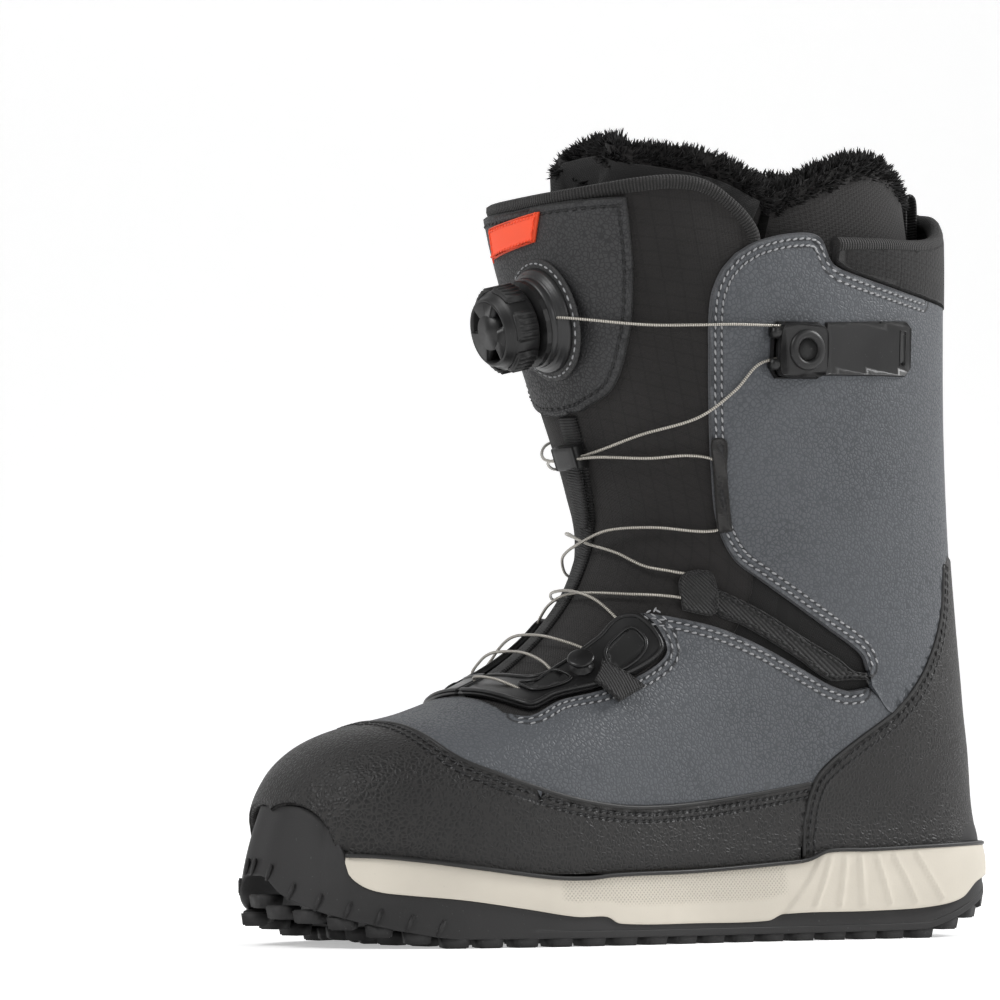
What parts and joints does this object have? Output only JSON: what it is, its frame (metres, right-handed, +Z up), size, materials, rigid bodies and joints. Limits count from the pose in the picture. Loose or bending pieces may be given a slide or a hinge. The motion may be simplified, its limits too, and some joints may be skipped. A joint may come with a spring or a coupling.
{
  "type": "snowboard boot",
  "caption": "Mid-height snowboard boot with a treaded sole, leather shell, dial-tightened cable lacing and a removable pile-topped liner.",
  "frame": {"origin": "middle of the tread's contact with the ground, on the bottom face of the central lug", "axes": "+Z up the shaft, -Y towards the toe, +X towards the outer side of the left foot"},
  "size_m": [0.1177, 0.306, 0.297],
  "materials": {
    "black_rubber": "moulded, matt",
    "cream_midsole": "moulded foam rubber, matt",
    "grey_leather": "pebbled synthetic leather, satin",
    "dark_leather": "pebbled synthetic leather, satin",
    "black_textile": "ripstop weave, matt",
    "webbing": "ribbed webbing, matt",
    "moulded_plastic": "moulded nylon, semi-matt",
    "liner_fabric": "brushed knit over foam",
    "fur_pile": "deep synthetic pile",
    "lace_cable": "twisted coated steel cable",
    "orange_tag": "soft printed tag, satin",
    "fibre_board": "fibre board",
    "spring_steel": "plain"
  },
  "bodies": {
    "root": {"outsole": "black_rubber", "midsole": "cream_midsole", "heel_bumper": "black_rubber", "shank": "spring_steel", "lasting_board": "fibre_board", "rand": "dark_leather", "vamp": "grey_leather", "heel_counter_panel": "dark_leather", "backstay": "black_textile", "shaft_panel_outer": "grey_leather", "shaft_panel_inner": "grey_leather", "rear_collar": "black_textile", "lining": "black_textile", "toe_puff": "fibre_board", "heel_stiffener": "fibre_board", "tongue": "black_textile", "tongue_shield": "grey_leather", "tongue_webbing": "webbing", "lace_keeper": "webbing", "label": "orange_tag", "ankle_strap_outer": "webbing", "ankle_strap_inner": "webbing", "ankle_loop_outer": "webbing", "ankle_loop_inner": "webbing", "lace_tunnel_outer": "webbing", "lace_tunnel_inner": "webbing", "lower_guide_outer": "moulded_plastic", "lower_guide_inner": "moulded_plastic", "upper_guide_outer": "moulded_plastic", "upper_guide_inner": "moulded_plastic", "upper_guide_tab_outer": "moulded_plastic", "upper_guide_tab_inner": "moulded_plastic", "release_hook": "moulded_plastic", "dial_base": "moulded_plastic", "dial_cartridge": "moulded_plastic", "lace": "lace_cable", "pull_loop": "webbing", "liner_outsole": "black_rubber", "liner_boot": "liner_fabric", "liner_tongue": "liner_fabric", "liner_fur_tongue": "fur_pile", "liner_fur_cuff": "fur_pile", "liner_strap": "webbing", "footbed": "fibre_board"},
    "dial_driver": {"dial_driver": "moulded_plastic"},
    "dial_knob": {"dial_knob": "moulded_plastic", "dial_grip": "black_rubber"},
    "dial_spool": {"dial_spool": "moulded_plastic"},
    "release_tab": {"release_tab": "webbing"}
  },
  "joints": [
    {"name": "dial_turn", "type": "hinge", "parent": "root", "child": "dial_driver", "pos_m": [0.00675, -0.04859, 0.22509], "axis": [0, -0.9703, -0.2419], "continuous": true},
    {"name": "dial_pull", "type": "slide", "parent": "dial_driver", "child": "dial_knob", "axis": [0, -0.9703, -0.2419], "range_m": [0, 0.0025]},
    {"name": "spool_turn", "type": "hinge", "parent": "root", "child": "dial_spool", "pos_m": [0.00675, -0.04083, 0.22703], "axis": [0, -0.9703, -0.2419], "continuous": true},
    {"name": "release_tab_swing", "type": "hinge", "parent": "root", "child": "release_tab", "pos_m": [0.0385, -0.0392, 0.0996], "axis": [-0.1658, -0.9347, -0.3145], "range_deg": [0, 55]}
  ],
  "couplings": [
    {"joint": "spool_turn", "follows": "dial_turn", "ratio": 1}
  ]
}
